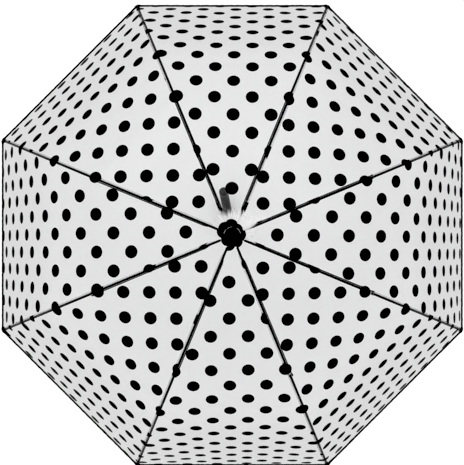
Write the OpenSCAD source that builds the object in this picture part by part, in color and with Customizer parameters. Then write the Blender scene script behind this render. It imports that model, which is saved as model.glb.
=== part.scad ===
// Clear dome umbrella with eight ribs and a crook handle, shown open.
// Millimetres. +Z runs up the shaft to the ferrule, and the origin is on the shaft axis,
// at the middle of the straight part of the grip.

/* [Canopy] */
// Length of the film from the shaft axis to the hem, along the middle of a panel
film_len = 554; // [540:1:566]
// Length of the nearly flat crown, from the shaft axis
crown_len = 170; // [160:1:180]
// Length of the curved shoulder below the crown
shoulder_len = 152; // [145:1:160]
// Slope of the film at the shaft axis, in degrees
apex_slope = 8.4; // [7:0.1:10]
// Slope where the shoulder starts, in degrees
shoulder_slope = 16.1; // [14:0.1:18]
// Slope where the side starts, in degrees
side_slope = 58.4; // [56:0.1:60]
// Slope at the hem, in degrees
hem_slope = 69; // [66:0.5:71]
// Thickness of the film panels
film_t = 0.2; // [0.15:0.05:0.5]
// Height of the black binding along the hem
hem_h = 3; // [2.5:0.5:4]

/* [Frame] */
// Height of the crown's hinge wire above the middle of the grip
crown_z = 650; // [630:1:680]
// Length of a stretcher, pivot to pivot
stretcher_len = 240; // [236:0.5:250]
// Film length at which a rib is jointed
joint_s = 200; // [196:1:206]
// Width of a rib
rib_w = 3; // [2.9:0.1:3.2]
// Height of a rib
rib_h = 3; // [2.8:0.1:3.2]
// Radius of the circle of pivots on the crown and on the runner
pivot_r = 10.5; // [10:0.1:11]
// Radius of the joint in a rib when the umbrella is closed
closed_r = 20; // [19:0.5:22]

/* [Shaft] */
// Outer diameter of the shaft tube
shaft_d = 10; // [9.6:0.1:10.4]
// Wall of the shaft tube
shaft_wall = 0.8; // [0.7:0.1:1]
// Length of the runner's sleeve below its pivots
sleeve_len = 38; // [34:1:42]
// How far a catch stands out of the shaft
catch_out = 3.2; // [3:0.1:3.4]

/* [Handle] */
// Diameter of the crook
grip_d = 18.5; // [17:0.5:20]
// Length of the straight part of the grip
grip_len = 90; // [80:1:100]
// Radius of the crook's bend, to the middle of the tube
crook_r = 46; // [42:1:50]
// Direction that the crook points in, in degrees from +X
crook_turn = 101.3; // [90:0.1:112]

/* [Ferrule] */
// Diameter of the flange that clamps the canopy
flange_d = 24; // [22:0.5:26]
// Diameter of the ferrule's tip
tip_d = 10; // [9:0.5:10.5]
// Straight length of the ferrule's tip
tip_len = 28; // [24:1:32]
// Diameter of the rosette under the flange
rosette_d = 28; // [26:0.5:32]

/* [Hidden] */
RIBS = 8;
STEP = 360 / RIBS;
HALF = STEP / 2;

FINE = 48;
fit = 0.05;         // radial clearance of a fixed fit
run_fit = 0.08;     // radial clearance of a running fit
gap = 0.3;          // clearance between soft parts
apex_rise = 4.9;    // apex of the film above the crown's hinge wire
rib_drop = 3.4;     // middle of a rib below the film, square to it
wire_r = 0.6;       // hinge wire
eye_r = 2.2;        // eye round a hinge wire
tongue_t = 1.6;     // flat tongue that carries an eye
head_r = 13;        // notched head of the crown and of the runner
core_r = 7.5;       // body of the crown and of the runner
notch_w = 2.1;      // notch that a tongue turns in
rivet_r = 1;        // rivet in a rib's joint
channel_wall = 0.6; // wall of a rib's channel
lug_t = 1.7;        // lug of the outer rib, between the inner rib's ears
film_hole_r = 8.2;  // hole in the canopy for the crown
cap_r = 2.2;        // socket of a rib's tip
ball_r = 3.4;       // rounded end of a rib's tip
cap_len = 10;       // depth of the rod in its tip
chord = 9;          // longest straight piece of a curved outline

shaft_r = shaft_d / 2;
grip_r = grip_d / 2;
grip_top = grip_len / 2;
collar_h = 8;
shaft_low = -30;
shaft_high = crown_z + apex_rise + 18;
apex_z = crown_z + apex_rise;
ferrule_z = apex_z + 0.7;
neck_h = 22;

// The dome's outline is three arcs, one after the other. A slope runs evenly along each.
side_len = film_len - crown_len - shoulder_len;

function arc_step(len, from, to) =
    let (rad = len / ((to - from) * PI / 180))
    [rad * (sin(to) - sin(from)), rad * (cos(from) - cos(to))];

function slope_at(s) =
    s <= crown_len ? apex_slope + (shoulder_slope - apex_slope) * s / crown_len
    : s <= crown_len + shoulder_len
    ? shoulder_slope + (side_slope - shoulder_slope) * (s - crown_len) / shoulder_len
    : side_slope + (hem_slope - side_slope) * (s - crown_len - shoulder_len) / side_len;

// Radius and drop of the film's outer face, s millimetres along a panel's middle
function film_at(s) =
    s <= crown_len ? arc_step(s, apex_slope, slope_at(s))
    : s <= crown_len + shoulder_len
    ? arc_step(crown_len, apex_slope, shoulder_slope)
        + arc_step(s - crown_len, shoulder_slope, slope_at(s))
    : arc_step(crown_len, apex_slope, shoulder_slope)
        + arc_step(shoulder_len, shoulder_slope, side_slope)
        + arc_step(s - crown_len - shoulder_len, side_slope, slope_at(s));

// A point of a panel's outline, depth millimetres inside the film
function panel_point(s, depth) =
    let (p = film_at(s), a = slope_at(s))
    [p[0] - depth * sin(a), apex_z - p[1] - depth * cos(a)];

// A rib runs along the fold between two panels, where the dome is wider
function rib_slope(s) = atan(tan(slope_at(s)) * cos(HALF));

function rib_point(s, depth) =
    let (p = film_at(s), a = rib_slope(s))
    [p[0] / cos(HALF) - depth * sin(a), apex_z - p[1] - depth * cos(a)];

function stations(from, to) =
    let (n = ceil((to - from) / chord))
    [for (i = [0:n]) from + (to - from) * i / n];

function reversed(list) = [for (i = [len(list) - 1:-1:0]) list[i]];

joint_at = rib_point(joint_s, rib_drop);
end_at = rib_point(film_len - cap_len, rib_drop);
end_slope = rib_slope(film_len - cap_len);

// The stretcher's lower pivot, with the umbrella open
runner_z = joint_at[1] - sqrt(pow(stretcher_len, 2) - pow(joint_at[0] - pivot_r, 2));
stretcher_rise = atan2(joint_at[1] - runner_z, joint_at[0] - pivot_r);

// How far the runner slides to close the umbrella
inner_len = norm([joint_at[0] - pivot_r, joint_at[1] - crown_z]);
closed_reach = closed_r - pivot_r;
closed_drop = sqrt(pow(inner_len, 2) - pow(closed_reach, 2))
    + sqrt(pow(stretcher_len, 2) - pow(closed_reach, 2));
travel = runner_z - (crown_z - closed_drop);

// The catches: one under the open runner, one in the closed runner's window
catch_w = 1.6;
catch_slot_w = 2.4;
catch_taper = 16;
catch_nose = 2.5;
top_catch_z = runner_z - sleeve_len - 0.5;
window_low = -sleeve_len + 6;
window_high = window_low + catch_taper + 4;
bottom_catch_z = runner_z - travel + window_low + 2;

module at_rib(k) { rotate([0, 0, HALF + STEP * (k - 1)]) children(); }

module at_panel(k) { rotate([0, 0, STEP * k]) children(); }

// Extrudes an outline drawn in radius and height, evenly to both sides of y = mid
module upright(width, mid = 0) {
    translate([0, mid + width / 2, 0])
        rotate([90, 0, 0])
            linear_extrude(width) children();
}

module rib_band(from, to, top, bottom) {
    s = stations(from, to);
    polygon(concat(
        [for (v = s) rib_point(v, rib_drop - top)],
        [for (v = reversed(s)) rib_point(v, rib_drop - bottom)]
    ));
}

module panel_band(from, to, outer, inner) {
    s = stations(from, to);
    polygon(concat(
        [for (v = s) panel_point(v, outer)],
        [for (v = reversed(s)) panel_point(v, inner)]
    ));
}

// A sector between two folds, each edge moved in by clear
module sector(clear) {
    reach = film_len;
    start = clear / sin(HALF);
    translate([start, 0, 0])
        linear_extrude(crown_z + 100)
            polygon([[0, 0], [reach, -reach * tan(HALF)], [reach, reach * tan(HALF)]]);
}

// Straight bar in a rib's plane between two points
module bar(a, b, half) {
    d = (b - a) / norm(b - a);
    n = [-d[1], d[0]] * half;
    polygon([a - n, b - n, b + n, a + n]);
}

module pin_y(p, r, width, mid = 0) {
    translate([p[0], mid, p[1]])
        rotate([90, 0, 0])
            cylinder(r = r, h = width, center = true, $fn = FINE);
}

// Notched disc that eight tongues turn in, hinged on a wire
module notched_head(top, bottom, core_top, core_bottom, bore_r) {
    difference() {
        union() {
            translate([0, 0, bottom]) cylinder(r = head_r, h = top - bottom, $fn = 96);
            translate([0, 0, core_bottom]) cylinder(r = core_r, h = core_top - core_bottom, $fn = 96);
        }
        translate([0, 0, core_bottom - 1])
            cylinder(r = bore_r, h = core_top - core_bottom + 2, $fn = 96);
        for (k = [1:RIBS])
            at_rib(k)
                translate([pivot_r - eye_r - 0.4, -notch_w / 2, bottom - 1])
                    cube([head_r, notch_w, top - bottom + 2]);
        rotate_extrude($fn = 96) translate([pivot_r, 0]) circle(r = wire_r + fit, $fn = FINE);
    }
}

module wire_ring(z) {
    color("dimgray")
        translate([0, 0, z])
            rotate_extrude($fn = 96) translate([pivot_r, 0]) circle(r = wire_r, $fn = FINE);
}

// Slot through the shaft's wall for a catch, on the -Y side
module catch_slot(z_low, z_high) {
    translate([-catch_slot_w / 2, -shaft_r - 1, z_low])
        cube([catch_slot_w, shaft_r, z_high - z_low]);
}

module shaft() {
    color("silver")
        difference() {
            translate([0, 0, shaft_low])
                cylinder(r = shaft_r, h = shaft_high - shaft_low, $fn = 96);
            translate([0, 0, shaft_low - 1])
                cylinder(r = shaft_r - shaft_wall, h = shaft_high - shaft_low + 2, $fn = 96);
            catch_slot(top_catch_z - catch_taper - 0.4, top_catch_z + 0.4);
            catch_slot(bottom_catch_z - 0.4, bottom_catch_z + catch_taper + 0.4);
            translate([0, 0, crown_z - 6.5])
                rotate([0, 90, 0])
                    cylinder(r = rivet_r + fit, h = 30, center = true, $fn = FINE);
        }
}

module crown() {
    color([0.12, 0.12, 0.12])
        translate([0, 0, crown_z])
            difference() {
                notched_head(2, -3, 3.2, -10, shaft_r + fit);
                translate([0, 0, -6.5])
                    rotate([0, 90, 0])
                        cylinder(r = rivet_r + fit, h = 30, center = true, $fn = FINE);
            }
}

module crown_rivet() {
    color("silver")
        translate([0, 0, crown_z - 6.5])
            rotate([0, 90, 0]) {
                cylinder(r = rivet_r, h = 2 * core_r + 1, center = true, $fn = FINE);
                for (side = [-1, 1])
                    translate([0, 0, side * (core_r + 0.65)])
                        cylinder(r = 1.9, h = 0.9, center = true, $fn = FINE);
            }
}

// Coned washer between the canopy and the ferrule
module rosette() {
    slope = 0.135;
    thick = 0.9;
    base = apex_z + 0.35;
    bore = shaft_r + gap;
    color([0.05, 0.05, 0.05])
        rotate_extrude($fn = 96)
            polygon([
                [bore, base - slope * bore],
                [rosette_d / 2, base - slope * rosette_d / 2],
                [rosette_d / 2, base - slope * rosette_d / 2 + thick],
                [bore, base - slope * bore + thick]
            ]);
}

module ferrule() {
    flange_r = flange_d / 2;
    edge_r = 1.6;
    neck_r = 6.6;
    color([0.04, 0.04, 0.04])
        translate([0, 0, ferrule_z])
            difference() {
                union() {
                    rotate_extrude($fn = 96)
                        union() {
                            square([flange_r, 2.4]);
                            square([flange_r - edge_r, 2.4 + edge_r]);
                            translate([flange_r - edge_r, 2.4]) circle(r = edge_r, $fn = FINE);
                        }
                    translate([0, 0, 3.5]) cylinder(r1 = 9, r2 = neck_r, h = 7, $fn = 96);
                    translate([0, 0, 10]) cylinder(r = neck_r, h = neck_h - 10, $fn = 96);
                    cylinder(r = tip_d / 2, h = neck_h + tip_len, $fn = 96);
                    translate([0, 0, neck_h + tip_len])
                        cylinder(r1 = tip_d / 2, r2 = tip_d / 2 - 1.5, h = 1.5, $fn = 96);
                }
                translate([0, 0, -1])
                    cylinder(r = shaft_r + fit, h = shaft_high - ferrule_z + 1.5, $fn = 96);
            }
}

module handle() {
    rise = 12;
    color([0.05, 0.05, 0.05])
        rotate([0, 0, crook_turn])
            difference() {
                union() {
                    translate([0, 0, -grip_top]) cylinder(r = grip_r, h = grip_len, $fn = 96);
                    translate([crook_r, 0, -grip_top])
                        rotate([90, 0, 0])
                            rotate([0, 0, 180])
                                rotate_extrude(angle = 180, $fn = 96)
                                    translate([crook_r, 0]) circle(r = grip_r, $fn = 96);
                    translate([2 * crook_r, 0, -grip_top]) {
                        cylinder(r = grip_r, h = rise, $fn = 96);
                        translate([0, 0, rise]) sphere(r = grip_r, $fn = 96);
                    }
                }
                translate([0, 0, shaft_low - 0.5])
                    cylinder(r = shaft_r + fit, h = grip_len, $fn = 96);
            }
}

module handle_collar() {
    collar_r = grip_r + 0.9;
    color("silver")
        translate([0, 0, grip_top + 0.1])
            difference() {
                union() {
                    cylinder(r = collar_r, h = collar_h - 3, $fn = 96);
                    translate([0, 0, collar_h - 3])
                        cylinder(r1 = collar_r, r2 = collar_r - 2, h = 3, $fn = 96);
                }
                translate([0, 0, -1]) cylinder(r = shaft_r + fit, h = collar_h + 2, $fn = 96);
            }
}

module runner() {
    foot_r = 11;
    color([0.08, 0.08, 0.08])
        translate([0, 0, runner_z])
            difference() {
                union() {
                    notched_head(2, -3, 4, -sleeve_len, shaft_r + run_fit);
                    difference() {
                        translate([0, 0, -sleeve_len]) cylinder(r = foot_r, h = 4, $fn = 96);
                        translate([0, 0, -sleeve_len - 1])
                            cylinder(r = shaft_r + run_fit, h = 6, $fn = 96);
                    }
                }
                translate([-catch_slot_w / 2 - 0.4, -foot_r - 1, window_low])
                    cube([catch_slot_w + 0.8, foot_r - 2, window_high - window_low]);
            }
}

// Flat spring in the shaft, whose nose stands out on the -Y side.
// up is 1 when the flat edge of the nose faces up, and -1 when it faces down.
module catch_spring(z, up) {
    back = shaft_r - shaft_wall - 1.4;
    front = shaft_r - shaft_wall - 0.3;
    tip = shaft_r + catch_out;
    color("silver")
        translate([catch_w / 2, 0, z])
            rotate([0, 0, -90])
                rotate([90, 0, 0])
                    linear_extrude(catch_w)
                        polygon([
                            [back, 8 * up],
                            [front, 8 * up],
                            [front, 0],
                            [tip, 0],
                            [tip, -catch_nose * up],
                            [front, -catch_taper * up],
                            [front, -(catch_taper + 14) * up],
                            [back, -(catch_taper + 14) * up]
                        ]);
}

module top_catch() { catch_spring(top_catch_z, 1); }

module bottom_catch() { catch_spring(bottom_catch_z, -1); }

// Channel of sheet steel, open below, from its eye at the crown to the ears of its joint
module rib_inner(k) {
    start = 17;
    ear = 2.4;
    hinge = [pivot_r, crown_z];
    color([0.08, 0.08, 0.08])
        at_rib(k)
            difference() {
                union() {
                    difference() {
                        upright(rib_w) rib_band(start, joint_s + ear, rib_h / 2, -rib_h / 2);
                        upright(rib_w - 2 * channel_wall)
                            rib_band(start + 4, joint_s + ear + 1, rib_h / 2 - channel_wall, -rib_h);
                        upright(lug_t + 0.3) rib_band(joint_s - 7, joint_s + ear + 1, rib_h, -rib_h);
                    }
                    upright(tongue_t) bar(hinge, rib_point(start + 1, rib_drop), 1.3);
                    pin_y(hinge, eye_r, tongue_t);
                }
                pin_y(hinge, wire_r + 0.12, rib_w + 1);
                pin_y(joint_at, rivet_r + run_fit, rib_w + 1);
            }
}

// Solid rod that carries on from the joint to the tip
module rib_outer(k) {
    rod_w = 3.2;
    rod_start = joint_s + 3.2;
    rod_h = 2.6;
    color([0.08, 0.08, 0.08])
        at_rib(k)
            difference() {
                union() {
                    pin_y(joint_at, 1.9, lug_t);
                    upright(lug_t) rib_band(joint_s, joint_s + 12, rod_h / 2, -rod_h / 2);
                    upright(rod_w) rib_band(rod_start, film_len - cap_len, rod_h / 2, -rod_h / 2);
                    translate([end_at[0], 0, end_at[1]])
                        rotate([0, 90 + end_slope, 0])
                            cylinder(r = 1.2, h = cap_len - 1, $fn = FINE);
                }
                pin_y(joint_at, rivet_r + fit, rib_w);
            }
}

module joint_rivet(k) {
    color("silver")
        at_rib(k) {
            pin_y(joint_at, rivet_r, rib_w + 0.1);
            pin_y(joint_at, 1.9, 0.6, -rib_w / 2 - 0.3);
        }
}

module rib_tip(k) {
    color([0.04, 0.04, 0.04])
        at_rib(k)
            translate([end_at[0], 0, end_at[1]])
                rotate([0, 90 + end_slope, 0])
                    difference() {
                        union() {
                            translate([0, 0, 1]) cylinder(r = cap_r, h = cap_len + 3, $fn = FINE);
                            translate([0, 0, cap_len + 4.5]) sphere(r = ball_r, $fn = FINE);
                        }
                        cylinder(r = 1.2 + fit, h = cap_len, $fn = FINE);
                    }
}

// Flat steel stretcher, stepped sideways to pass beside the rib that it carries
module stretcher(k) {
    side = 1.8;
    arm_w = 1.5;
    arm_h = 3;
    step_from = 30;
    step_to = 44;
    color([0.1, 0.1, 0.1])
        at_rib(k)
            translate([pivot_r, 0, runner_z])
                rotate([0, -stretcher_rise, 0])
                    difference() {
                        union() {
                            pin_y([0, 0], eye_r, tongue_t);
                            translate([0, -tongue_t / 2, -1.4]) cube([step_from, tongue_t, 2.8]);
                            translate([0, 0, -1.4])
                                linear_extrude(2.8)
                                    polygon([
                                        [step_from - 2, -tongue_t / 2],
                                        [step_from, -tongue_t / 2],
                                        [step_to, side],
                                        [step_to + 2, side],
                                        [step_to + 2, side + arm_w],
                                        [step_to - 2, side + arm_w],
                                        [step_from - 2, tongue_t / 2]
                                    ]);
                            difference() {
                                translate([step_to, side, -arm_h / 2])
                                    cube([stretcher_len - step_to - 8, arm_w, arm_h]);
                                translate([step_to + 6, side + 0.5, -arm_h / 2 - 1])
                                    cube([stretcher_len - step_to - 20, arm_w - 1, arm_h + 0.4]);
                            }
                            translate([stretcher_len - 10, side, -1.4]) cube([10, 1.4, 2.8]);
                            pin_y([stretcher_len, 0], 2, 1.4, side + 0.7);
                            pin_y([stretcher_len, 0], 1.5, 0.8, side + 1.7);
                        }
                        pin_y([0, 0], wire_r + 0.12, tongue_t + 1);
                    }
}

// One clear panel of the canopy, straight from fold to fold
module film(k) {
    color([0.93, 0.94, 0.95, 0.45])
        at_panel(k)
            intersection() {
                upright(film_len) panel_band(film_hole_r, film_len - hem_h - gap, 0, film_t);
                sector(gap / 2);
            }
}

module hem(k) {
    color([0.04, 0.04, 0.04])
        at_panel(k)
            intersection() {
                upright(film_len) panel_band(film_len - hem_h, film_len, -0.4, film_t + 0.4);
                sector(1);
            }
}

shaft();
crown();
wire_ring(crown_z);  // crown_wire
crown_rivet();
ferrule();
rosette();
handle();
handle_collar();
runner();
wire_ring(runner_z);  // runner_wire
top_catch();
bottom_catch();
for (k = [1:RIBS]) {
    rib_inner(k);
    union() { rib_outer(k); joint_rivet(k); }
    rib_tip(k);
    stretcher(k);
    film(k);
    hem(k);
}
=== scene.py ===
"""Clear dome umbrella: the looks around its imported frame. Metres, +Z up the shaft."""

import math

import bpy
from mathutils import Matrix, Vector, noise
from mathutils.geometry import delaunay_2d_cdt


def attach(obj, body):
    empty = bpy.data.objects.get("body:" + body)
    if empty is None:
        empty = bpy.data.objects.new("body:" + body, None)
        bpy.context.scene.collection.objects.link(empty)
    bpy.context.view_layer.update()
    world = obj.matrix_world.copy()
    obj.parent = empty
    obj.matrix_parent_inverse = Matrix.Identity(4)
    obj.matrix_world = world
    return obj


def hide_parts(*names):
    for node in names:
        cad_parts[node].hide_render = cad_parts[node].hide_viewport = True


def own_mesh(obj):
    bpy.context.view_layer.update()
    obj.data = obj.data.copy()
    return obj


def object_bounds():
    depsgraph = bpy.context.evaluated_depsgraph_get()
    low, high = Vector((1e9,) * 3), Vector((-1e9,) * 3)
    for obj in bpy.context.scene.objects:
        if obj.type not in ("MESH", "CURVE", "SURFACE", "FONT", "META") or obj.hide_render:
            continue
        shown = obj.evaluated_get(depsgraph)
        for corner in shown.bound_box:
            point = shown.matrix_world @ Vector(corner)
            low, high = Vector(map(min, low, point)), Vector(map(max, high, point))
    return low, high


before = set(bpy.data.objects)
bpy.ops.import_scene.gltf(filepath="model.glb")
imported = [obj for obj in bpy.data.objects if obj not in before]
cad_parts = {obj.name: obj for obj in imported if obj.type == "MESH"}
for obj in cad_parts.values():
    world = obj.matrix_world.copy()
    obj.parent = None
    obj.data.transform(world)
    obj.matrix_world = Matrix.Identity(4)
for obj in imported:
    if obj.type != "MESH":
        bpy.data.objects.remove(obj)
CAD_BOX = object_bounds()

# ---------------------------------------------------------------- the dome's shape

PANELS = 8
HALF_STEP = math.pi / PANELS
SPREAD = math.tan(HALF_STEP)
APEX_Z = 0.6549
# Stations along a panel's middle line, measured from the shaft's axis
FILM_START = 0.0110
FOLD_AT = 0.200       # the ribs' joints, where a panel folds
FILM_END = 0.5515
HEM_AT = 0.5524       # middle of the hem binding
# The outline's three arcs: length, slope where it starts, slope where it ends
ARCS = ((0.170, 8.4, 16.1), (0.152, 16.1, 58.4), (0.232, 58.4, 69.0))

ROUNDING = 0.003      # width of the rounded strip beside a fold
RIB_HOLD = 0.03       # how far from a rib the film is held straight
SAG = 0.0014          # how far a panel hangs in between its ribs
FULL_SAG_AT = 0.3     # station from which it hangs that far
TAUT_FROM = 0.46      # from here the hem pulls the film straight,
TAUT_OVER = 0.09      # over this length
WAVE = 0.0009         # long waves in the film
WAVE_ACROSS = 0.045
WAVE_ALONG = 0.12
WAVE_SHIFT = 7.3      # gives each panel waves of its own
CREASE = 0.0006       # tension lines that fan out from the corners at the rim
CREASE_LINES = 16
CREASE_BEYOND = 0.02  # they meet this far beyond the rim
CREASE_REACH = 0.17
CREASE_FADE = 0.12
CREASE_EDGE = 0.02    # they are full this far from a rib
CREASE_TAUT = 0.15    # share that is left of them where the hem pulls the film straight
PUCKER = 0.00012      # gathers beside the hem
PUCKER_REACH = 0.016
PUCKER_PITCH = 0.0021
PUCKER_DRIFT = 0.02   # length over which the gathers' spacing drifts

AREA_SLICES = 200

LAP = 0.004           # width of film that laps over the next panel
LAP_FROM = 0.014      # a lap starts here,
LAP_OVER = 0.02       # and widens over this length
LAP_LIFT = 0.00035    # how high a lap lies over its neighbour
LAP_RISE = 0.0012     # and how soon past the fold it has risen that far
# Edges that lie over the next panel: -1 the clockwise one, 1 the anticlockwise one
LAPPED = {1: (), 2: (-1, 1), 3: (), 4: (-1,), 5: (-1,), 6: (-1,), 7: (-1, 1), 8: (1,)}


def profile(s):
    """Radius, height and slope of a panel's middle line, s metres from the shaft axis."""
    r, z, a = 0.0, APEX_Z, math.radians(ARCS[0][1])
    for length, start, end in ARCS:
        first, last = math.radians(start), math.radians(end)
        bend = length / (last - first)
        run = min(s, length)
        a = first + (last - first) * run / length
        r += bend * (math.sin(a) - math.sin(first))
        z -= bend * (math.cos(first) - math.cos(a))
        s -= run
        if s <= 1e-9:
            break
    return r, z, a


def half_width(s):
    """Half of a panel's width from fold to fold, laps left out."""
    return profile(s)[0] * SPREAD


def lap_width(panel, side, s):
    """How far a panel's film lies over its neighbour on this side."""
    return LAP * smooth((s - LAP_FROM) / LAP_OVER) if side in LAPPED[panel] else 0.0


def flat_width(panel, s):
    """Width that a panel was cut to, laps included."""
    return 2 * half_width(s) + lap_width(panel, 1, s) + lap_width(panel, -1, s)


def cut_area(panel, low, high):
    """Flat area that a stretch of the panel was cut to, laps included."""
    ds = (high - low) / AREA_SLICES
    mids = [low + ds * (i + 0.5) for i in range(AREA_SLICES)]
    return sum(flat_width(panel, s) * ds for s in mids)


def smooth(x):
    """0 below 0, 1 above 1, and an even ease in between."""
    x = min(max(x, 0.0), 1.0)
    return x * x * (3 - 2 * x)


def relief(panel, s, u):
    """How far the film stands out of the straight panel, square to it."""
    half = half_width(s)
    edge = half - abs(u)
    a = profile(s)[2]
    turn = math.acos(math.sin(a) ** 2 * math.cos(2 * HALF_STEP) + math.cos(a) ** 2)
    depth = ROUNDING * math.tan(turn / 2) / 2
    h = -depth * max(0.0, 1 - edge / ROUNDING) ** 2
    free = smooth(edge / RIB_HOLD)
    slack = 1 - smooth((s - TAUT_FROM) / TAUT_OVER)
    across = 1 - (u / half) ** 2
    h -= SAG * across * smooth(s / FULL_SAG_AT) * free * slack
    spot = Vector((u / WAVE_ACROSS, s / WAVE_ALONG, WAVE_SHIFT * panel))
    h += WAVE * free * slack * noise.noise(spot)
    # Tension lines run from the corners at the rim towards the panel's middle
    below = FILM_END + CREASE_BEYOND - s
    corner = math.hypot(below, edge)
    fan = math.atan2(below, edge + 0.001)
    creases = CREASE * math.sin(CREASE_LINES * fan + panel)
    creases = creases * smooth((CREASE_REACH - corner) / CREASE_FADE)
    h += creases * smooth(edge / CREASE_EDGE) * (CREASE_TAUT + (1 - CREASE_TAUT) * slack)
    hem = smooth((s - FILM_END + PUCKER_REACH) / PUCKER_REACH)
    drift = 3 * noise.noise(Vector((u / PUCKER_DRIFT, panel, 0)))
    h += PUCKER * hem * free * math.sin(u / PUCKER_PITCH + drift)
    return h


def place(panel, s, u):
    """A point of the film. Past its fold a panel carries on over its neighbour."""
    r, z, a = profile(s)
    half = r * SPREAD
    over = abs(u) - half
    side = 1 if u > 0 else -1
    lift = 0.0
    if over > 0:
        panel = panel + side
        u = -side * (half - over)
        lift = LAP_LIFT * smooth(over / LAP_RISE)
    h = relief((panel - 1) % PANELS + 1, s, u) + lift
    x = r + h * math.sin(a)
    turn = 2 * HALF_STEP * panel
    return Vector((
        x * math.cos(turn) - u * math.sin(turn),
        x * math.sin(turn) + u * math.cos(turn),
        z + h * math.cos(a),
    ))


# ---------------------------------------------------------------- the print

DOT_R = 0.0088
DOT_SIDES = 32
DOT_MARGIN = 0.004    # a dot's reach is judged this much further down, where film is wider
PITCH = 0.0256
ROWS = range(-4, 24)
COLUMNS = range(-9, 10)
# How the print lies on each panel, in millimetres: where it starts along the panel and
# across it, its turn per step, and how it is stretched, skewed and fanned per step squared
REGISTER = {
    1: (60.0, 1.0, 0.1, 0.01, 0.17, 0.02),
    2: (64.0, 0.5, 0.4, 0.16, 0.01, 0.07),
    3: (64.5, 0.0, 0.2, 0.09, -0.09, 0.09),
    4: (63.0, -4.5, -0.3, 0.05, -0.04, 0.06),
    5: (59.5, 0.0, -0.2, 0.02, -0.06, 0.0),
    6: (63.3, -4.5, -0.2, -0.04, -0.08, -0.05),
    7: (60.5, -2.0, 0.0, -0.05, 0.07, -0.04),
    8: (61.0, 0.5, 0.3, -0.045, 0.05, 0.0),
}


def dots_on(panel, low, high):
    """Centre and radii of each dot that reaches this stretch of the panel."""
    start, side, turn, stretch, skew, fan = (v / 1000 for v in REGISTER[panel])
    found = []
    for p in ROWS:
        for q in COLUMNS:
            if (p + q) % 2:
                continue
            s = start + PITCH * p + stretch * p * p + turn * q + skew * p * q
            u = side + PITCH * q - turn * p + fan * p * q
            along = DOT_R * (1 + 2 * stretch * p / PITCH)
            across = DOT_R * (1 + fan * p / PITCH)
            if low - along < s < high + along:
                reach = half_width(min(max(s, low), high) + DOT_MARGIN) + LAP + across
                if abs(u) < reach:
                    found.append((s, u, along, across))
    return found


# ---------------------------------------------------------------- mesh helpers


def new_object(name, verts, faces, materials, marks=None, smooth_shade=True):
    """A mesh object. marks gives the number of each face's material."""
    mesh = bpy.data.meshes.new(name)
    mesh.from_pydata([tuple(v) for v in verts], [], faces)
    for m in materials:
        mesh.materials.append(m)
    if marks:
        mesh.polygons.foreach_set("material_index", marks)
    mesh.polygons.foreach_set("use_smooth", [smooth_shade] * len(mesh.polygons))
    mesh.validate()
    mesh.update()
    obj = bpy.data.objects.new(name, mesh)
    bpy.context.scene.collection.objects.link(obj)
    return obj


def steps(low, high, size):
    """Even steps from low to high, none longer than size."""
    n = max(1, math.ceil((high - low) / size))
    return [low + (high - low) * i / n for i in range(n + 1)]


def tube(centres, a, b, section):
    """Vertices and faces of a closed tube. section(i) gives points along a and b."""
    verts, faces = [], []
    count = len(section(0))
    for i, c in enumerate(centres):
        verts += [c + a * x + b * y for x, y in section(i)]
    for i in range(len(centres) - 1):
        near, far = i * count, (i + 1) * count
        for j in range(count):
            j2 = (j + 1) % count
            faces.append([near + j, near + j2, far + j2, far + j])
    faces.append(list(range(count))[::-1])
    faces.append([(len(centres) - 1) * count + j for j in range(count)])
    return verts, faces


def add_strip_uv(obj, along, count):
    """UV map 'strip' of a tube: metres along it, and turns round it."""
    mesh = obj.data
    layer = mesh.uv_layers.new(name="strip")
    for poly in mesh.polygons:
        rings = [mesh.loops[i].vertex_index // count for i in poly.loop_indices]
        spots = [mesh.loops[i].vertex_index % count for i in poly.loop_indices]
        wrap = max(spots) - min(spots) > 1 and len(spots) == 4
        for i, ring, spot in zip(poly.loop_indices, rings, spots):
            v = (spot + count if wrap and spot == 0 else spot) / count
            layer.data[i].uv = (along[ring], v)


# ---------------------------------------------------------------- the film's mesh

MM = 1000             # the film is triangulated in millimetres,
INSIDE = 1            # inside its outline,
NEAREST = 1e-4        # and points closer than this become one
SIDE_STEP = 0.005     # spacing of the points along the folds,
END_STEP = 0.008      # along the two ends,
ROW_STEP = 0.0065     # of the rows inside,
COLUMN_STEP = 0.010   # and of the points in a row
END_ROW = 0.0015      # an extra row lies this far from each end
CLEAR_OF_FOLD = 0.009  # even points end this far from a fold, and extra ones lie beside it
BESIDE_FOLD = (0.0008, 0.0018, 0.003, 0.006)
ON_LAP = (0.0, 0.0007, 0.0014)
DOT_CLEAR = 0.28      # share of a dot's radius that stays free of points beside its edge
NARROW = 0.02         # no extra points where half of the panel is narrower than this


def film_outline(panel, low, high):
    """Points round a stretch of film: distance along it and across it."""
    along = steps(low, high, SIDE_STEP)
    right = [half_width(s) + lap_width(panel, 1, s) for s in along]
    left = [-half_width(s) - lap_width(panel, -1, s) for s in along]
    outline = list(zip(along, right))
    outline += [(high, u) for u in reversed(steps(left[-1], right[-1], END_STEP)[1:-1])]
    outline += reversed(list(zip(along, left)))
    outline += [(low, u) for u in steps(left[0], right[0], END_STEP)[1:-1]]
    return outline[::-1]


def inner_points(panel, low, high, dots):
    """Points inside a stretch of film, away from the dots' edges."""

    def free(s, u):
        for cs, cu, along, across in dots:
            apart = math.hypot((s - cs) / along, (u - cu) / across)
            if abs(apart - 1) < DOT_CLEAR:
                return False
        return True

    points = []
    for s in steps(low, high, ROW_STEP)[1:-1] + [low + END_ROW, high - END_ROW]:
        half = half_width(s)
        inner = [u for u in steps(-half, half, COLUMN_STEP) if abs(u) < half - CLEAR_OF_FOLD]
        if half > NARROW:
            inner += [side * (half - e) for e in BESIDE_FOLD for side in (-1, 1)]
            inner += [side * (half + e) for e in ON_LAP for side in LAPPED[panel]]
        points += [(s, u) for u in inner if free(s, u)]
    return points


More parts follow.
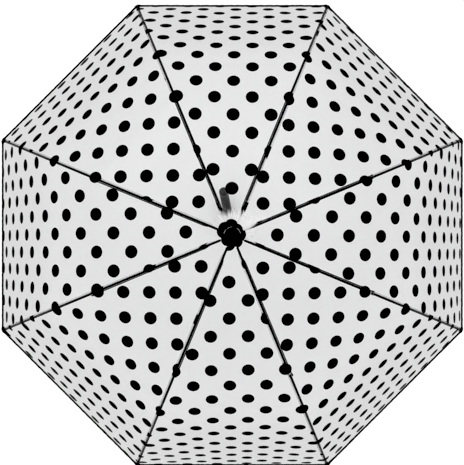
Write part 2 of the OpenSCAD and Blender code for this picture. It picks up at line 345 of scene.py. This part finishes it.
def film_piece(name, panel, low, high):
    """One panel's film between two stations, with its dots as faces of their own."""
    points = film_outline(panel, low, high)
    faces = [list(range(len(points)))]
    dots = dots_on(panel, low, high)
    for s, u, along, across in dots:
        faces.append(list(range(len(points), len(points) + DOT_SIDES)))
        for i in range(DOT_SIDES):
            t = 2 * math.pi * i / DOT_SIDES
            points.append((s + along * math.cos(t), u + across * math.sin(t)))
    points += inner_points(panel, low, high, dots)
    flat = [Vector((s * MM, u * MM)) for s, u in points]
    made = delaunay_2d_cdt(flat, [], faces, INSIDE, NEAREST)
    spots, _, triangles, _, _, origins = made
    verts = [place(panel, v.x / MM, v.y / MM) for v in spots]
    kept, marks = [], []
    # Face 0 is the outline, and the others are the dots
    for face, origin in zip(triangles, origins):
        if 0 in origin:
            kept.append(list(face))
            marks.append(1 if any(f > 0 for f in origin) else 0)
    return new_object(name, verts, kept, [FILM, INK], marks)


# ---------------------------------------------------------------- materials

# Most of a noise's values lie between these
NOISE_LOW = 0.3
NOISE_HIGH = 0.7


class Shader:
    """A node material, built a node at a time."""

    def __init__(self, name):
        self.material = bpy.data.materials.new(name)
        self.material.use_nodes = True
        self.tree = self.material.node_tree
        self.tree.nodes.clear()
        self.out = self.node("ShaderNodeOutputMaterial")

    def node(self, kind, inputs=None, **settings):
        n = self.tree.nodes.new(kind)
        for key, value in settings.items():
            setattr(n, key, value)
        for key, value in (inputs or {}).items():
            socket = n.inputs[key]
            if isinstance(value, bpy.types.NodeSocket):
                self.tree.links.new(value, socket)
            else:
                socket.default_value = value
        return n

    def place(self, scale=(1, 1, 1), uv=None):
        """Coordinates that stay on the piece."""
        if uv:
            source = self.node("ShaderNodeUVMap", uv_map=uv).outputs["UV"]
        else:
            source = self.node("ShaderNodeTexCoord").outputs["Object"]
        return self.node("ShaderNodeMapping", {"Vector": source, "Scale": scale}).outputs[0]

    def distance(self, spot):
        """Distance from a spot on the piece."""
        inputs = {0: self.place(), 1: spot}
        return self.node("ShaderNodeVectorMath", inputs, operation="DISTANCE").outputs["Value"]

    def noise(self, scale, detail=3.0, roughness=0.5, vector=None, distortion=0.0):
        n = self.node("ShaderNodeTexNoise", {
            "Vector": vector if vector is not None else self.place(),
            "Scale": scale, "Detail": detail, "Roughness": roughness,
            "Distortion": distortion})
        return n.outputs[0]

    def remap(self, value, low, high, start=NOISE_LOW, end=NOISE_HIGH):
        """low where value is at start, high where it is at end, and even in between."""
        return self.node("ShaderNodeMapRange", {
            "Value": value, "From Min": start, "From Max": end,
            "To Min": low, "To Max": high}).outputs[0]

    def blend(self, value, first, last, start=0.0, end=1.0):
        """A colour that goes from first to last."""
        ramp = self.node("ShaderNodeValToRGB", {"Fac": value})
        ramp.color_ramp.elements[0].position = start
        ramp.color_ramp.elements[1].position = end
        ramp.color_ramp.elements[0].color = (*first, 1)
        ramp.color_ramp.elements[1].color = (*last, 1)
        return ramp.outputs["Color"]

    def tint(self, value, dark, light):
        """A colour that follows a noise."""
        return self.blend(value, dark, light, NOISE_LOW, NOISE_HIGH)

    def math(self, how, a, b):
        return self.node("ShaderNodeMath", {0: a, 1: b}, operation=how).outputs[0]

    def bump(self, height, strength, distance):
        return self.node("ShaderNodeBump", {
            "Height": height, "Strength": strength, "Distance": distance}).outputs[0]

    def mix(self, share, first, second):
        """Two shaders, with this share of the second."""
        return self.node("ShaderNodeMixShader", {0: share, 1: first, 2: second})

    def principled(self, **inputs):
        names = {k.replace("_", " "): v for k, v in inputs.items()}
        return self.finish(self.node("ShaderNodeBsdfPrincipled", names))

    def finish(self, shader):
        self.tree.links.new(shader.outputs[0], self.out.inputs["Surface"])
        return self.material


FILM_CLEAR = (0.822, 0.824, 0.827)      # what the film lets through face on
FILM_EDGE_ON = (0.695, 0.695, 0.697)    # and edge on
FILM_MIRROR = 0.036                     # the most light that it mirrors
FILM_HAZE = (0.002, 0.010)              # a faint uneven haze all over it
HUB_AT = (0.0, 0.0, 0.651)
PAINTED_GLARE_R = 0.031                        # painted glare: milky film lies this near the hub,
PAINTED_GLARE_AT = (0.012, 0.030, 0.651)
PAINTED_GLARE_REACH = 0.030                    # and this near a spot beside it
FAINT_GLARE_AT = (0.035, 0.075, 0.64)
FAINT_GLARE_REACH = 0.085                     # a fainter painted glare lies round the milky film


def film_haze_and_glare(m, haze):
    """How dull the film is: a faint uneven haze, and a painted glare of the key light, milky
    on one side of the hub, in streaks that run from it.
    """
    ray = m.node("ShaderNodeVectorMath", {0: m.place((1, 1, 0))}, operation="NORMALIZE")
    rays = m.noise(9, 3, 0.7, vector=ray.outputs["Vector"])
    rough_edge = m.remap(rays, -0.005, 0.007, 0.25, 0.75)
    painted_glare = m.remap(rays, 1.0, 0.86, 0.35, 0.65)
    # Milky film on one side of the hub: a painted glare of the key light
    for spot, reach in ((HUB_AT, PAINTED_GLARE_R), (PAINTED_GLARE_AT, PAINTED_GLARE_REACH)):
        apart = m.math("ADD", m.distance(spot), rough_edge)
        near = m.remap(apart, 0.96, 0.0, reach - 0.003, reach + 0.006)
        painted_glare = m.math("MULTIPLY", near, painted_glare)
    # A fainter painted glare round it
    faint_painted_glare = m.remap(m.distance(FAINT_GLARE_AT), 0.045, 0.0, 0.02, FAINT_GLARE_REACH)
    faint_painted_glare = m.math("MULTIPLY", faint_painted_glare, m.remap(rays, 0.35, 1.0))
    return m.math("MAXIMUM", m.math("ADD", haze, faint_painted_glare), painted_glare)


def film_material():
    m = Shader("clear_film")
    cloud = m.noise(9, 4, 0.55, distortion=0.4)
    streak = m.noise(60, 3, 0.6, vector=m.place((1, 1, 0.25)))
    haze = m.remap(m.math("MULTIPLY", cloud, streak), *FILM_HAZE, 0.12, 0.42)
    ripple = m.bump(m.noise(38, 3, 0.5, distortion=0.3), 0.18, 0.0012)
    facing = m.node("ShaderNodeLayerWeight", {"Blend": 0.5}).outputs["Facing"]
    steep = m.remap(facing, 0.0, 1.0, 0.05, 0.75)
    through = m.blend(steep, FILM_CLEAR, FILM_EDGE_ON)
    passing = m.node("ShaderNodeBsdfTransparent", {"Color": through})
    gloss = m.node("ShaderNodeBsdfAnisotropic", {
        "Color": (1, 1, 1, 1), "Roughness": m.remap(cloud, 0.05, 0.11), "Normal": ripple})
    dull = m.node("ShaderNodeBsdfDiffuse", {"Color": (0.80, 0.80, 0.802, 1), "Roughness": 0.3})
    fresnel = m.node("ShaderNodeFresnel", {"IOR": 1.6, "Normal": ripple})
    mirror = m.math("MINIMUM", fresnel.outputs[0], FILM_MIRROR)
    surface = m.mix(mirror, passing.outputs[0], gloss.outputs[0])
    # The diffuse film is a faint haze all over, and a painted glare beside the hub
    haze_and_glare = film_haze_and_glare(m, haze)
    return m.finish(m.mix(haze_and_glare, surface.outputs[0], dull.outputs[0]))


def ink_material():
    m = Shader("dot_ink")
    grain = m.noise(900, 2, 0.6)
    blotch = m.noise(70, 3, 0.5)
    return m.principled(
        Base_Color=m.tint(blotch, (0.0008, 0.0008, 0.001), (0.002, 0.002, 0.0022)),
        Roughness=m.remap(grain, 0.45, 0.65), Specular_IOR_Level=0.02,
        Normal=m.bump(grain, 0.25, 0.00005))


def enamel_material():
    m = Shader("black_enamel")
    peel = m.noise(1400, 2, 0.5)
    scuff = m.noise(220, 5, 0.7, vector=m.place((1, 1, 0.2)))
    return m.principled(
        Base_Color=m.tint(scuff, (0.0015, 0.0015, 0.0018), (0.005, 0.005, 0.0055)),
        Roughness=m.remap(scuff, 0.24, 0.46), Specular_IOR_Level=0.14,
        Normal=m.bump(peel, 0.22, 0.00006))


def gloss_material(name, dark, light, roughness, specular):
    m = Shader(name)
    flow = m.noise(55, 3, 0.5)
    fine = m.noise(700, 3, 0.6)
    return m.principled(
        Base_Color=m.tint(flow, dark, light), Roughness=m.remap(fine, *roughness),
        Specular_IOR_Level=specular, Normal=m.bump(flow, 0.08, 0.0004))


FLANGE_EDGE = 0.0112   # radius of the painted highlight ring on the flange's rounded edge


def cap_material():
    """Gloss black, with a painted highlight: pale round one side of the flange's rounded edge.
    """
    m = Shader("ferrule_black")
    flow = m.noise(55, 3, 0.5)
    fine = m.noise(700, 3, 0.6)
    flat = m.place((1, 1, 0))
    radius = m.node("ShaderNodeVectorMath", {0: flat}, operation="LENGTH").outputs["Value"]
    off_ring = m.math("ABSOLUTE", m.math("SUBTRACT", radius, FLANGE_EDGE), 0.0)
    ring = m.remap(off_ring, 1.0, 0.0, 0.0003, 0.0007)
    split = m.node("ShaderNodeSeparateXYZ", {0: flat})
    side = m.remap(split.outputs["Y"], 0.0, 1.0, -0.004, 0.003)
    patchy = m.remap(m.noise(160, 2, 0.6), 0.15, 1.0, 0.35, 0.6)
    # Pale base colour on the +Y side of the rounded edge: a painted highlight
    painted_highlight = m.math("MULTIPLY", m.math("MULTIPLY", ring, side), patchy)
    return m.principled(
        Base_Color=m.tint(painted_highlight, (0.0015, 0.0015, 0.0017), (0.38, 0.38, 0.38)),
        Roughness=m.remap(fine, 0.12, 0.24), Specular_IOR_Level=0.3,
        Normal=m.bump(flow, 0.08, 0.0004))


def satin_material():
    m = Shader("moulded_black")
    spark = m.noise(2200, 2, 0.6)
    flow = m.noise(90, 3, 0.5)
    return m.principled(
        Base_Color=m.tint(flow, (0.010, 0.010, 0.011), (0.022, 0.022, 0.024)),
        Roughness=m.remap(spark, 0.36, 0.55), Normal=m.bump(spark, 0.3, 0.00008))


def steel_material():
    m = Shader("bright_steel")
    drawn = m.noise(900, 3, 0.6, vector=m.place((1, 1, 0.06)))
    spot = m.noise(160, 4, 0.6)
    return m.principled(
        Base_Color=m.tint(spot, (0.42, 0.42, 0.43), (0.60, 0.60, 0.61)), Metallic=1.0,
        Roughness=m.remap(drawn, 0.2, 0.38), Normal=m.bump(drawn, 0.2, 0.00005))


def chrome_material():
    m = Shader("chrome")
    smear = m.noise(120, 4, 0.6)
    return m.principled(
        Base_Color=m.tint(smear, (0.62, 0.62, 0.63), (0.74, 0.74, 0.75)), Metallic=1.0,
        Roughness=m.remap(smear, 0.06, 0.16), Normal=m.bump(smear, 0.04, 0.0002))


def vinyl_material():
    m = Shader("black_vinyl")
    grain = m.noise(1100, 3, 0.6)
    crease = m.noise(170, 3, 0.5, distortion=0.8)
    height = m.math("ADD", crease, m.math("MULTIPLY", grain, 0.25))
    return m.principled(
        Base_Color=m.tint(crease, (0.0015, 0.0015, 0.0015), (0.004, 0.004, 0.004)),
        Roughness=m.remap(crease, 0.3, 0.5), Specular_IOR_Level=0.08,
        Normal=m.bump(height, 0.35, 0.0003))


def tape_material():
    m = Shader("woven_tape")
    along = m.node("ShaderNodeTexWave", {
        "Vector": m.place((1, 0, 0), "strip"), "Scale": 330.0,
        "Distortion": 0.6, "Detail": 1.0})
    around = m.node("ShaderNodeTexWave", {
        "Vector": m.place((0, 1, 0), "strip"), "Scale": 4.0,
        "Distortion": 0.4, "Detail": 1.0}, bands_direction="Y")
    weave = m.math("MULTIPLY", along.outputs["Fac"], around.outputs["Fac"])
    return m.principled(
        Base_Color=m.tint(weave, (0.001, 0.001, 0.0012), (0.004, 0.004, 0.0045)),
        Roughness=m.remap(m.noise(300), 0.7, 0.9), Specular_IOR_Level=0.06,
        Normal=m.bump(weave, 0.6, 0.0002))


LIGHT_POOL_AT = (0.0, 0.12, -0.1)     # painted pool of light: the floor glows a little brighter round this spot


def floor_material():
    m = Shader("studio_floor")
    soft = m.noise(1.3, 2, 0.4)
    # The floor glows a little all over, and more round a spot under the canopy: a painted pool
    # of light
    return m.principled(
        Base_Color=m.tint(soft, (0.885, 0.885, 0.885), (0.895, 0.895, 0.895)),
        Roughness=m.remap(soft, 0.85, 0.92), Specular_IOR_Level=0.1,
        Emission_Color=(1.0, 1.0, 1.0, 1.0),
        Emission_Strength=m.remap(m.distance(LIGHT_POOL_AT), 0.20, 0.12, 0.08, 0.32))


FILM = film_material()
INK = ink_material()
ENAMEL = enamel_material()
CAP = cap_material()
GLOSS = gloss_material(
    "gloss_black", dark=(0.0012, 0.0012, 0.0014), light=(0.003, 0.003, 0.0033),
    roughness=(0.10, 0.2), specular=0.25)
GRIP = gloss_material(
    "grip_black", dark=(0.072, 0.072, 0.073), light=(0.135, 0.135, 0.136),
    roughness=(0.4, 0.6), specular=0.1)
SATIN = satin_material()
STEEL = steel_material()
CHROME = chrome_material()
VINYL = vinyl_material()
TAPE = tape_material()

# ---------------------------------------------------------------- camera, light, floor

CAMERA_ABOVE = 1.22     # height of the camera above the film's apex
BLACK_LEVEL = 0.04
# The view's tone curve: a level, and the level that it is shown at
TONES = ((0.4, 0.32), (0.72, 0.72))
FLOOR_R = 14
FLOOR_SIDES = 96
FLOOR_GAP = 0.0003      # the floor lies this far below the handle


def add_camera():
    """A camera straight above the umbrella."""
    camera = bpy.data.objects.new("camera", bpy.data.cameras.new("camera"))
    camera.data.sensor_width = 36.0
    camera.data.lens = 71.4
    camera.data.shift_x = -0.0006
    camera.data.shift_y = 0.0062
    camera.data.clip_start = 0.01
    camera.data.clip_end = 100.0
    camera.location = (0, 0, APEX_Z + CAMERA_ABOVE)
    bpy.context.scene.collection.objects.link(camera)
    bpy.context.scene.camera = camera


def studio_world(fill, low_band, zenith):
    """Even fill light. Mirrors see a pale band round the horizon and a darker ceiling."""
    world = bpy.data.worlds.new("studio")
    world.use_nodes = True
    tree = world.node_tree
    background = tree.nodes["Background"]
    background.inputs["Color"].default_value = (1.0, 1.0, 1.0, 1)
    toward = tree.nodes.new("ShaderNodeTexCoord")
    split = tree.nodes.new("ShaderNodeSeparateXYZ")
    tree.links.new(toward.outputs["Generated"], split.inputs[0])
    ramp = tree.nodes.new("ShaderNodeMapRange")
    ramp.interpolation_type = "SMOOTHSTEP"
    ramp.inputs["From Min"].default_value = 0.1
    ramp.inputs["From Max"].default_value = 0.75
    ramp.inputs["To Min"].default_value = low_band
    ramp.inputs["To Max"].default_value = zenith
    tree.links.new(split.outputs["Z"], ramp.inputs["Value"])
    path = tree.nodes.new("ShaderNodeLightPath")
    # A mix of two numbers: input 0 is the share, and inputs 2 and 3 are the numbers
    choose = tree.nodes.new("ShaderNodeMix")
    choose.inputs[2].default_value = fill
    tree.links.new(path.outputs["Is Glossy Ray"], choose.inputs[0])
    tree.links.new(ramp.outputs[0], choose.inputs[3])
    tree.links.new(choose.outputs[0], background.inputs["Strength"])
    bpy.context.scene.world = world


def set_tones():
    """Darkens the middle and dark tones of the picture a little."""
    view = bpy.context.scene.view_settings
    view.view_transform = "Standard"
    view.use_curve_mapping = True
    view.curve_mapping.black_level = [BLACK_LEVEL] * 3
    all_colours = view.curve_mapping.curves[3]
    for level, shown in TONES:
        all_colours.points.new(level, shown)
    view.curve_mapping.update()


def softbox(name, polar, azimuth, distance, width, height, radiance):
    """An area light that faces the hub. A flat light's power is pi x area x radiance."""
    p, a = math.radians(polar), math.radians(azimuth)
    to = Vector((math.sin(p) * math.cos(a), math.sin(p) * math.sin(a), math.cos(p)))
    data = bpy.data.lights.new(name, "AREA")
    data.shape = "RECTANGLE"
    data.size, data.size_y = width, height
    data.energy = math.pi * width * height * radiance
    light = bpy.data.objects.new(name, data)
    light.location = Vector((0, 0, APEX_Z)) + to * distance
    light.rotation_euler = to.to_track_quat("Z", "Y").to_euler()
    bpy.context.scene.collection.objects.link(light)


def add_floor():
    """A round floor just below the lowest point of the umbrella."""
    turns = [2 * math.pi * i / FLOOR_SIDES for i in range(FLOOR_SIDES)]
    z = CAD_BOX[0].z - FLOOR_GAP
    ring = [(FLOOR_R * math.cos(t), FLOOR_R * math.sin(t), z) for t in turns]
    faces = [list(range(FLOOR_SIDES))]
    floor = new_object("floor", ring, faces, [floor_material()], smooth_shade=False)


add_camera()
studio_world(fill=1.08, low_band=0.7, zenith=0.05)
set_tones()
softbox("key", polar=19.2, azimuth=72, distance=3.2, width=1.5, height=0.2, radiance=1.6)
softbox("bank", polar=48, azimuth=140, distance=3.6, width=3.0, height=1.2, radiance=0.5)
add_floor()

# ---------------------------------------------------------------- canopy

TAPE_HALF_H = 0.0018    # the hem binding's oval section
TAPE_HALF_W = 0.00135
TAPE_STEP = 0.0028      # distance between the sections
TAPE_UNEVEN = 0.05      # share by which its thickness varies, in ripples and lumps
TAPE_RIPPLE = 2.1
TAPE_LUMP = 0.01
CORNER_FAT = 0.7        # how much thicker the binding is at its corners,
CORNER_REACH = 0.008    # from this far away,
CORNER_RISE = 0.007     # and how soon
SIDES = 12              # points round a section


def panel_film(k):
    """One panel's two sheets, above and below its fold."""
    for part, low, high in (("upper", FILM_START, FOLD_AT), ("lower", FOLD_AT, FILM_END)):
        piece = film_piece(f"canopy_{part}_{k}", k, low, high)
        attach(piece, f"canopy_{part}_{k}")
        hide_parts(f"film_{k}")
        flat_width(k, high)
        cut_area(k, low, high)
        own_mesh(piece)


def hem_binding(k, turn):
    """A round tape along one panel's hem."""
    reach = half_width(HEM_AT)
    along = steps(-reach, reach, TAPE_STEP)
    a = profile(HEM_AT)[2]
    down = Vector((math.cos(a) * math.cos(turn), math.cos(a) * math.sin(turn), -math.sin(a)))
    outward = Vector((math.sin(a) * math.cos(turn), math.sin(a) * math.sin(turn), math.cos(a)))
    centres = [place(k, HEM_AT, u) for u in along]

    def section(i):
        fat = 1 + TAPE_UNEVEN * math.sin(i * TAPE_RIPPLE)
        fat += TAPE_UNEVEN * noise.noise(Vector((along[i] / TAPE_LUMP, k, 0)))
        fat += CORNER_FAT * smooth((abs(along[i]) - reach + CORNER_REACH) / CORNER_RISE)
        high, wide = TAPE_HALF_H * fat, TAPE_HALF_W * fat
        turns = [2 * math.pi * j / SIDES for j in range(SIDES)]
        return [(high * math.cos(t), wide * math.sin(t)) for t in turns]

    verts, faces = tube(centres, down, outward, section)
    hem = new_object(f"hem_tape_{k}", verts, faces, [TAPE])
    add_strip_uv(hem, along, SIDES)
    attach(hem, f"canopy_lower_{k}")
    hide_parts(f"hem_{k}")
    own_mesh(hem)


for k in range(1, PANELS + 1):
    turn = 2 * HALF_STEP * k
    panel_film(k)
    hem_binding(k, turn)

# ---------------------------------------------------------------- rosette

ROSETTE_AROUND = 192
ROSETTE_RINGS = 14
ROSETTE_HOLE = 0.0053
ROSETTE_R = 0.0156
ROSETTE_THICK = 0.0009
ROSETTE_RISE = 0.00035  # the underside's cone would end this far above the film's apex
ROSETTE_SLOPE = 0.135   # and falls this much per metre outwards
PLEATS = 16
PLEAT = 0.0003
PLEATS_FROM = 0.35      # share of the way out at which the pleats start
EDGE_ROUND = 0.0004     # how far the rim is rounded off
WOBBLE = 0.0005         # how uneven the rim's radius is
WOBBLE_SIZE = 2.2
WOBBLE_SHIFT = 0.7


def rosette_point(i, j, top):
    """A point of ring i, at step j round it, on the top or the underside."""
    t = i / ROSETTE_RINGS
    angle = 2 * math.pi * j / ROSETTE_AROUND
    spot = (WOBBLE_SIZE * math.cos(angle), WOBBLE_SIZE * math.sin(angle), WOBBLE_SHIFT)
    wobble = noise.noise(Vector(spot))
    radius = ROSETTE_HOLE + (ROSETTE_R + WOBBLE * wobble - ROSETTE_HOLE) * t
    pleat = PLEAT * math.cos(PLEATS * angle + 2 * wobble)
    pleat = pleat * smooth((t - PLEATS_FROM) / (1 - PLEATS_FROM))
    edge = EDGE_ROUND * (1 - math.sqrt(max(0.0, 1 - t ** 12)))
    z = APEX_Z + ROSETTE_RISE - ROSETTE_SLOPE * radius + abs(pleat)
    z += ROSETTE_THICK - edge if top else edge * 0.5
    return Vector((radius * math.cos(angle), radius * math.sin(angle), z))


def ring_pairs(i):
    """The numbers of ring i's points, each with the next one round."""
    first = i * ROSETTE_AROUND
    return [(first + j, first + (j + 1) % ROSETTE_AROUND) for j in range(ROSETTE_AROUND)]


def rosette():
    """Pleated vinyl washer between the canopy and the ferrule's flange."""
    spots = [(i, j) for i in range(ROSETTE_RINGS + 1) for j in range(ROSETTE_AROUND)]
    verts = [rosette_point(i, j, top) for top in (True, False) for i, j in spots]
    size = len(spots)
    faces = []
    for i in range(ROSETTE_RINGS):
        for a, b in ring_pairs(i):
            c, d = b + ROSETTE_AROUND, a + ROSETTE_AROUND
            faces.append([a, d, c, b])
            faces.append([size + a, size + b, size + c, size + d])
    faces += [[a, b, size + b, size + a] for a, b in ring_pairs(0)]
    faces += [[b, a, size + a, size + b] for a, b in ring_pairs(ROSETTE_RINGS)]
    piece = new_object("rosette_vinyl", verts, faces, [VINYL])
    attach(piece, "root")
    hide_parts("rosette")


rosette()

# ---------------------------------------------------------------- carried-over nodes

FINISH = {
    "shaft": ENAMEL, "crown": SATIN, "crown_wire": STEEL, "crown_rivet": STEEL,
    "ferrule": CAP, "handle": GRIP, "handle_collar": CHROME, "runner": SATIN,
    "runner_wire": STEEL, "top_catch": STEEL, "bottom_catch": STEEL,
    "rib_inner": ENAMEL, "rib_outer": ENAMEL, "rib_tip": GLOSS, "stretcher": ENAMEL,
}

for name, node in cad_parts.items():
    finish = FINISH.get(name) or FINISH.get(name.rstrip("0123456789").rstrip("_"))
    if finish:
        node.data.materials.clear()
        node.data.materials.append(finish)
